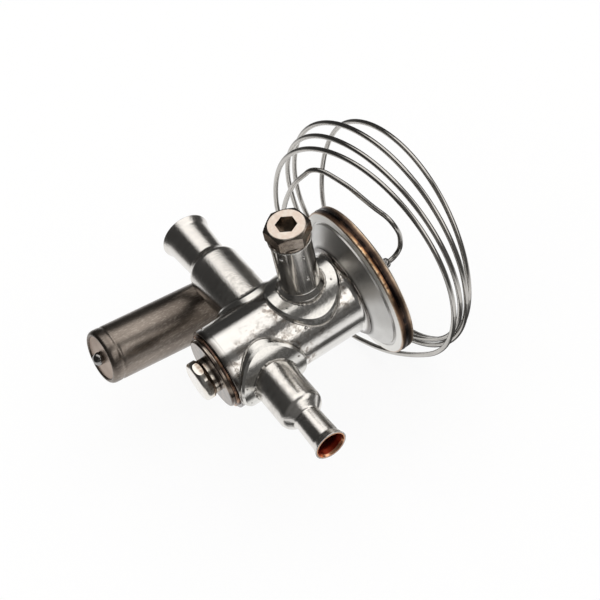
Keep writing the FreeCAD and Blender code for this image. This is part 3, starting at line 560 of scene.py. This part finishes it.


# Oxidised steel, clouded along the bulb. It is darker near the outlet connector, and by endShade at its open end,
# where this is painted shade of its rounded edge.
def bulbFinish(name, dark, light, rough, fineShare, endShade=0.0):
    material, tree, shader, place = startFinish(name)
    streaks = noise(tree, place, (40.0, 300.0, 300.0), 4.0, bulbMarks["slant"])
    clouds = noise(tree, place, (75.0, 130.0, 130.0), 4.0, bulbMarks["slant"])
    fine = noise(tree, place, (700.0, 2600.0, 2600.0), 3.0, bulbMarks["slant"])
    mixed = maths(tree, "ADD", maths(tree, "MULTIPLY", streaks, 0.5), maths(tree, "MULTIPLY", clouds, 0.5))
    colour = mixColour(tree, between(tree, mixed, 0.28, 0.72), dark, light)
    away = vectors(tree, "DISTANCE", place, bulbMarks["darkSpot"])
    darkSpot = between(tree, away, *bulbMarks["darkSpotReach"], 0.45, 0.0, smooth=True)
    colour = mixColour(tree, darkSpot, colour, (0.10, 0.08, 0.065))
    inward = vectors(tree, "SUBTRACT", place, [part * mm for part in bulbEnd])
    depth = maths(tree, "ADD", vectors(tree, "DOT_PRODUCT", inward, bulbAlong), sway(tree, streaks, 0.8 * mm))
    paintedCollarShade = between(tree, depth, *bulbMarks["paintedCollarShade"], endShade, 0.0, smooth=True)
    colour = mixColour(tree, paintedCollarShade, colour, (0.075, 0.062, 0.054))
    colour = mixColour(tree, between(tree, fine, 0.50, 0.75, 0.0, fineShare), colour, (0.72, 0.66, 0.58))
    rough = between(tree, clouds, 0.3, 0.7, rough * 1.15, rough * 0.9)
    endFinish(tree, shader, colour, rough, maths(tree, "ADD", fine, streaks), 0.000006)
    return material


plug = {   # stretches along X
    "flange": (-12.7 * mm, -12.5 * mm),
    "waist": (-15.6 * mm, -15.0 * mm, -12.8 * mm, -12.5 * mm),
    "turned": (-12.2 * mm, -11.9 * mm),
}


# Plug steel: a cream rubbed front face, a browner waist, and a flange painted dark as painted shade where the cap
# covers it, with fine turned rings.
def plugFinish():
    material, tree, shader, place = startFinish("plugSteel")
    along = coordinate(tree, place, 0)
    rings = noise(tree, place, (3200.0, 60.0, 60.0), 3.0)
    smears = noise(tree, place, (200.0, 500.0, 240.0), 5.0)
    pale = mixColour(tree, between(tree, smears, 0.38, 0.62), (0.80, 0.75, 0.68), (0.90, 0.87, 0.82))
    brown = mixColour(tree, between(tree, smears, 0.40, 0.58), (0.40, 0.32, 0.26), (0.78, 0.71, 0.62))
    paintedShadeFlange = mixColour(tree, between(tree, smears, 0.40, 0.62), (0.08, 0.062, 0.052), (0.27, 0.22, 0.18))
    turned = maths(tree, "MULTIPLY", between(tree, rings, 0.56, 0.70), between(tree, along, *plug["turned"]))
    paintedShadeFlange = mixColour(tree, turned, paintedShadeFlange, (0.72, 0.64, 0.55))
    colour = mixColour(tree, within(tree, along, plug["waist"]), pale, brown)
    colour = mixColour(tree, between(tree, along, *plug["flange"]), colour, paintedShadeFlange)
    endFinish(tree, shader, colour, between(tree, smears, 0.3, 0.7, 0.13, 0.24), rings, 0.000004)
    return material


# Black rubber, matt, with a fine moulded grain.
def rubberFinish():
    material, tree, shader, place = startFinish("sealRubber")
    grain = noise(tree, place, 2200.0, 3.0)
    colour = mixColour(tree, grain, (0.012, 0.012, 0.012), (0.03, 0.03, 0.028))
    endFinish(tree, shader, colour, between(tree, grain, 0.3, 0.7, 0.5, 0.65), grain, 0.00001, 0.0)
    return material


# Colours are bright and dark for copper, dark and light for the bulb.
finishes["rimOxide"] = rimFinish()
finishes["linerCopper"] = linerFinish()
finishes["brazeCopper"] = copperFinish("brazeCopper", (0.085, 0.050, 0.034), (0.016, 0.012, 0.011), 0.26, 0.48)
finishes["gasketCopper"] = copperFinish("gasketCopper", (0.50, 0.30, 0.19), (0.10, 0.06, 0.045), 0.30, 0.46)
finishes["spindleSteel"] = spindleFinish()
finishes["bulbSteel"] = bulbFinish("bulbSteel", (0.165, 0.137, 0.117), (0.32, 0.276, 0.238), 0.30, 0.26, 0.30)
finishes["discSteel"] = bulbFinish("discSteel", (0.42, 0.33, 0.27), (0.52, 0.42, 0.35), 0.42, 0.10)
finishes["stubSteel"] = bulbFinish("stubSteel", (0.10, 0.065, 0.05), (0.30, 0.21, 0.16), 0.20, 0.10)
finishes["plugSteel"] = plugFinish()
finishes["sealRubber"] = rubberFinish()

nodeFinish = {
    "body_tube": "bodySteel",
    "inlet_saddle": "saddleSteel",
    "outlet_saddle": "saddleSteel",
    "boss_saddle": "saddleSteel",
    "inlet_connector": "connectorSteel",
    "outlet_connector": "connectorSteel",
    "inlet_liner": "linerCopper",
    "outlet_liner": "linerCopper",
    "inlet_strainer": "springSteel",
    "setting_boss": "bossSteel",
    "setting_washer": "saddleSteel",
    "setting_spindle": "spindleSteel",
    "spindle_seal_ring": "sealRubber",
    "setting_wedge": "turnedBrass",
    "spring_seat": "springSteel",
    "superheat_spring": "springSteel",
    "pressure_pad": "turnedBrass",
    "push_rod": "drawnSteel",
    "rod_guide": "turnedBrass",
    "orifice_insert": "turnedBrass",
    "valve_cone": "springSteel",
    "cone_spring": "springSteel",
    "plug_gasket": "gasketCopper",
    "body_plug": "plugSteel",
    "head_cup": "rimOxide",
    "diaphragm": "rimOxide",
    "rim_braze": "brazeCopper",
    "head_cover": "rimOxide",
    "capillary_ferrule": "drawnSteel",
    "capillary_tube": "drawnSteel",
    "bulb_shell": "bulbSteel",
    "bulb_end_disc": "discSteel",
    "bulb_fill_stub": "discSteel",
    "bulb_fill_bead": "beadSteelPaintedShade",
}

for nodeName, finishName in nodeFinish.items():
    for slot in nodes[nodeName].material_slots:
        slot.material = finishes[finishName]
print("finishes on", len(nodeFinish), "nodes")


axis = np.array((0.0, 38.3, 0.0)) * mm
tubeRadius, saddleOuter = 11.7 * mm, 13.15 * mm
ports = {   # where each leaves the body's axis, in mm along X, the way out, and a way square to both
    "inlet": ((0.0, 0.0, 0.0), (0, -1, 0), (0, 0, 1)),
    "outlet": ((7.3, 0.0, 0.0), (0, 1, 0), (0, 0, 1)),
    "boss": ((18.8, 0.0, 0.0), (0, 0, 1), (0, 1, 0)),
}


# Closed bead where a circle of radius ring, square to a port's axis, meets a cylinder of radius wall about the
# body's axis. The bead's own radius swells and shrinks as a sum of cosines.
def weldRing(name, port, ring, wall, bead, seed):
    start, outward, across = (np.array(part, float) for part in ports[port])
    angle = np.linspace(0, 2 * np.pi, 220, endpoint=False)[:, None]
    side = ring * np.sin(angle)
    out = np.sqrt(wall**2 - side**2)
    path = axis + start * mm + np.array((1.0, 0, 0)) * ring * np.cos(angle) + outward * out + across * side
    normal = (outward * out + across * side) / wall
    tangent = np.roll(path, -1, 0) - np.roll(path, 1, 0)
    tangent /= np.linalg.norm(tangent, axis=1, keepdims=True)
    sideways = np.cross(tangent, normal)
    rng = np.random.default_rng(seed)
    waves = np.arange(5, 48)[None, :]
    swell = rng.normal(size=waves.shape) * np.cos(waves * angle + rng.uniform(0, 6.28, waves.shape)) / np.sqrt(waves)
    radius = (bead * (1 + 0.16 * swell.sum(1, keepdims=True)))[:, :, None]
    turn = np.linspace(0, 2 * np.pi, 10, endpoint=False)[None, :, None]
    grid = path[:, None, :] + radius * (np.cos(turn) * normal[:, None, :] * 0.8 + np.sin(turn) * sideways[:, None, :])
    ringPiece = placeMesh(name, gridMesh(name, grid, True, True), finishes["weldSteel"], "valve_body")


welds = {
    "saddleRing": 10.15 * mm,
    "saddleBead": 0.24 * mm,
    "footBead": 0.32 * mm,
    "footRings": {"inlet": 6.47 * mm, "outlet": 7.84 * mm, "boss": 6.42 * mm},
}
for count, portName in enumerate(ports):
    weldRing(portName + "_saddle_weld", portName, welds["saddleRing"], tubeRadius, welds["saddleBead"], 11 + count)
    footRing = welds["footRings"][portName]
    weldRing(portName + "_foot_weld", portName, footRing, saddleOuter, welds["footBead"], 21 + count)
print("weld lines made")


# Drops of metal on a surface: each is an ellipsoid with its centre a little under the surface, given as
# (place, direction out of the surface, long direction, half length, half width, height) in millimetres.
def domes(name, material, spots):
    u = np.linspace(0, np.pi, 9)[:, None, None]
    v = np.linspace(0, 2 * np.pi, 13)[None, :, None]
    meshes = bmesh.new()
    for place, outward, longWay, length, width, height in spots:
        outward = np.array(outward, float) / np.linalg.norm(outward)
        longWay = np.array(longWay, float) - outward * np.dot(longWay, outward)
        longWay /= np.linalg.norm(longWay)
        wide = np.cross(outward, longWay)
        centre = np.array(place, float) - outward * height * 0.25
        level = outward * height * np.cos(u) + longWay * length * np.sin(u) * np.cos(v)
        grid = centre + level + wide * width * np.sin(u) * np.sin(v)
        meshes.from_mesh(gridMesh("drop", grid * mm))
    mesh = bpy.data.meshes.new(name)
    meshes.to_mesh(mesh)
    meshes.free()
    drops = placeMesh(name, mesh, material, "valve_body")


spatter = [
    ((13.41, 29.22, 7.37), (0, -0.76, 0.65), (1, 0, 0), 0.55, 0.50, 0.45),
    ((17.2, 28.9, 8.0), (-0.1, -0.8, 0.5), (1, 0, 0), 0.40, 0.35, 0.40),
    ((11.68, 34.18, 12.49), (0, -0.30, 0.95), (1, 0, 0), 0.42, 0.38, 0.36),
    ((11.80, 40.42, 12.98), (0, 0.16, 0.99), (1, 0, 0), 0.36, 0.30, 0.30),
    ((25.81, 34.45, 12.57), (0, -0.29, 0.96), (0, 1, 0), 0.36, 0.30, 0.30),
    ((8.08, 25.63, 3.53), (0, -0.96, 0.27), (0, 0, 1), 0.42, 0.40, 0.26),
    ((-8.10, 25.70, 3.35), (0, -0.96, 0.26), (0, 0, 1), 0.40, 0.35, 0.34),
    ((-7.60, 28.81, 6.84), (0, -0.80, 0.60), (1, 0, 0), 0.34, 0.30, 0.30),
    ((10.69, 29.72, 7.95), (0, -0.72, 0.70), (1, 0, 0), 0.26, 0.22, 0.24),
    ((-3.64, 18.37, 4.96), (-0.6, 0, 0.8), (0, 1, 0), 0.16, 0.14, 0.14),
    ((-8.07, 25.43, -2.70), (0, -0.98, -0.21), (0, 0, 1), 0.24, 0.20, 0.20),
    ((15.0, 29.9, 8.2), (0, -0.72, 0.70), (1, 0, 0), 0.22, 0.20, 0.22),
    ((28.4, 47.9, 6.6), (0, 0.82, 0.57), (1, 0, 0), 0.30, 0.26, 0.26),
    ((4.0, 49.5, 3.9), (0, 0.95, 0.3), (1, 0, 0), 0.30, 0.26, 0.26),
]
domes("weld_spatter", finishes["dropSteel"], spatter)
bossDrops = [
    ((14.09, 35.67, 28.96), (-0.873, -0.487, 0), (0, 0, 1), 0.85, 0.52, 0.45),
    ((19.05, 32.91, 28.44), (0.05, -1, 0), (0, 0, 1), 0.80, 0.50, 0.45),
    ((18.75, 32.90, 20.05), (0, -1, 0), (0, 0, 1), 0.95, 0.62, 0.45),
]
domes("boss_drops", finishes["dropSteel"], bossDrops)
print("spatter and drops made")


# Surface of revolution: the profile's points are (distance along the axis, radius), and its straight runs are carried
# round the axis and shaded smooth. Lumps give the radius a small swell, as a sum of cosines.
def turnedPiece(name, profile, start, way, material, lumps=0.0, seed=1, closed=False):
    way = np.array(way, float) / np.linalg.norm(way)
    side = np.cross(way, (0, 0, 1.0))
    side /= np.linalg.norm(side)
    other = np.cross(way, side)
    along, radius = np.array(profile, float).T[:, :, None]
    angle = np.linspace(0, 2 * np.pi, 64, endpoint=False)[None, :]
    rng = np.random.default_rng(seed)
    swell = sum(rng.normal() * np.cos(wave * angle + rng.uniform(0, 6.28) + along * 2.0) for wave in (2, 3, 5))
    radius = radius * (1 + lumps * swell)
    first, second = (np.cos(angle) * radius)[:, :, None] * side, (np.sin(angle) * radius)[:, :, None] * other
    grid = np.array(start) + way * along[:, :, None] + first + second
    return placeMesh(name, gridMesh(name, grid * mm, closed, True), material, "valve_body")


# Points of a quarter or part circle, for a profile: (distance along, radius) about a centre.
def arc(centre, size, first, last, count):
    angle = np.radians(np.linspace(first, last, count))
    return [(centre[0] + size * np.cos(a), centre[1] + size * np.sin(a)) for a in angle]


# X of the nose's end, Y of the axis, and the radii of the tube, the nozzle and the braze
ferrule = {"nose": 44.0, "axisY": 38.3, "tube": 0.70, "nozzle": 1.19, "braze": 1.5}
brazeProfile = [(-0.75, ferrule["nozzle"]), (-0.55, 1.32), (-0.10, ferrule["braze"]), (0.60, ferrule["braze"])]
brazeProfile += [(1.10, 1.36), (1.45, 1.08), (1.75, ferrule["tube"])]
brazeStart = (ferrule["nose"], ferrule["axisY"], 0.0)
brazeRing = turnedPiece("ferrule_braze", brazeProfile, brazeStart, (1, 0, 0), finishes["beadSteelPaintedShade"], 0.02, 3, True)

bulb = {
    "outer": 7.9,
    "seat": 1.6,       # how deep the disc sits
    "face": 0.42,      # how deep its pressed-out face is
    "round": 1.5,      # how far back the open end is rounded
    "lip": 0.95,       # and how far in
    "tuck": 0.35,      # how much further back the lip's inner edge goes
    "length": 42.7,
    "tail": [(37.2, 7.88), (38.0, 7.78), (38.9, 7.45), (39.7, 6.85), (40.7, 5.6), (41.9, 3.6), (42.4, 2.6),
             (42.7, 2.05), (42.85, 1.7), (43.2, 1.5), (45.3, 1.5), (45.6, 1.4), (45.7, 1.2), (45.7, 0.72),
             (44.0, 0.72)],
    "stub": 1.42,
    "bead": 1.85,
    "beadEnd": -2.1,
}
outer, face, stubRadius = bulb["outer"], bulb["face"], bulb["stub"]
rounding = np.radians(np.linspace(-35, 90, 15))
lipAlong = bulb["round"] * (1 - np.cos(rounding)) + np.where(rounding < 0, bulb["tuck"], 0) * np.sin(rounding) ** 2
lipRadius = outer - bulb["lip"] * (1 - np.sin(rounding))
shellProfile = [(2.2, 7.16), (0.9, 7.14), (0.75, 6.80)] + list(zip(lipAlong, lipRadius))
shellProfile += [(2.6, outer), (2.95, outer - 0.02), (3.15, outer - 0.12), (3.45, outer - 0.16)]
shellProfile += [(3.75, outer - 0.12), (3.95, outer - 0.02), (4.3, outer)]
shellProfile += [(along, outer) for along in np.linspace(6, bulb["length"] - 6.0, 12)]
shellProfile += bulb["tail"] + [(42.0, 0.72), (41.5, 1.5), (38.0, 6.9), (36.5, 7.16)]
shell = turnedPiece("bulb_shell_drawn", shellProfile, bulbEnd, bulbAlong, finishes["bulbSteel"], closed=True)
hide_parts("bulb_shell")

discProfile = [(2.4, 0.0), (2.4, 7.12), (1.05, 7.12), (0.95, 7.0), (0.95, 6.66)]
discProfile += arc((face + 0.30, 6.32), 0.30, 80, 180, 8)
discProfile += [(face + 0.07, 6.17), (face + 0.09, 5.8), (face + 0.05, 4.0), (face, 0.0)]
disc = turnedPiece("bulb_disc_pressed", discProfile, bulbEnd, bulbAlong, finishes["discSteel"])
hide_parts("bulb_end_disc")

stubProfile = [(bulb["seat"], 0.0), (bulb["seat"], stubRadius + 0.5), (face - 0.02, stubRadius + 0.35)]
stubProfile += [(0.15, stubRadius + 0.05), (-0.2, stubRadius), (-0.6, stubRadius)]
stubProfile += [(-0.9, stubRadius - 0.15), (-0.9, 0.0)]
stub = turnedPiece("bulb_stub_pinched", stubProfile, bulbEnd, bulbAlong, finishes["stubSteel"], 0.03, 5)
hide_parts("bulb_fill_stub")

beadProfile = arc((bulb["beadEnd"] + bulb["bead"], 0.0), bulb["bead"], 0, 180, 22)
beadProfile = [(along, radius if radius > 1e-6 else 0.0) for along, radius in beadProfile]   # both poles on the axis
bead = turnedPiece("bulb_bead_melted", beadProfile, bulbEnd, bulbAlong, finishes["beadSteelPaintedShade"], 0.012, 8)
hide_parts("bulb_fill_bead")
print("bulb end made")


# Copy of a spring between two distances along X, cut off there, and it stays open where it is cut through.
def springPart(name, node, low, high):
    mesh = nodes[node].data.copy()
    mesh.name = name
    cut = bmesh.new()
    cut.from_mesh(mesh)
    for place, way in ((low, -1), (high, 1)):
        whole = cut.verts[:] + cut.edges[:] + cut.faces[:]
        bmesh.ops.bisect_plane(cut, geom=whole, plane_co=(place, 0, 0), plane_no=(way, 0, 0), clear_outer=True)
    cut.to_mesh(mesh)
    cut.free()
    mesh.materials.clear()
    mesh.materials.append(finishes["springSteel"])
    piece = bpy.data.objects.new(name, mesh)
    bpy.context.scene.collection.objects.link(piece)
    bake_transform(piece)
    return piece


coneLow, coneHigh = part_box("cone_spring")[0].x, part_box("cone_spring")[1].x
coneSpring = springPart("cone_spring_wire", "cone_spring", coneLow - mm, coneHigh + mm)
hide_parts("cone_spring")
mainLow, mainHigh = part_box("superheat_spring")[0].x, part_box("superheat_spring")[1].x
middle = (mainLow + mainHigh) / 2
seatHalf = springPart("superheat_spring_seat_half", "superheat_spring", mainLow - mm, middle)
springPart("superheat_spring_pad_half", "superheat_spring", middle, mainHigh + mm)
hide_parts("superheat_spring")
print("springs made")
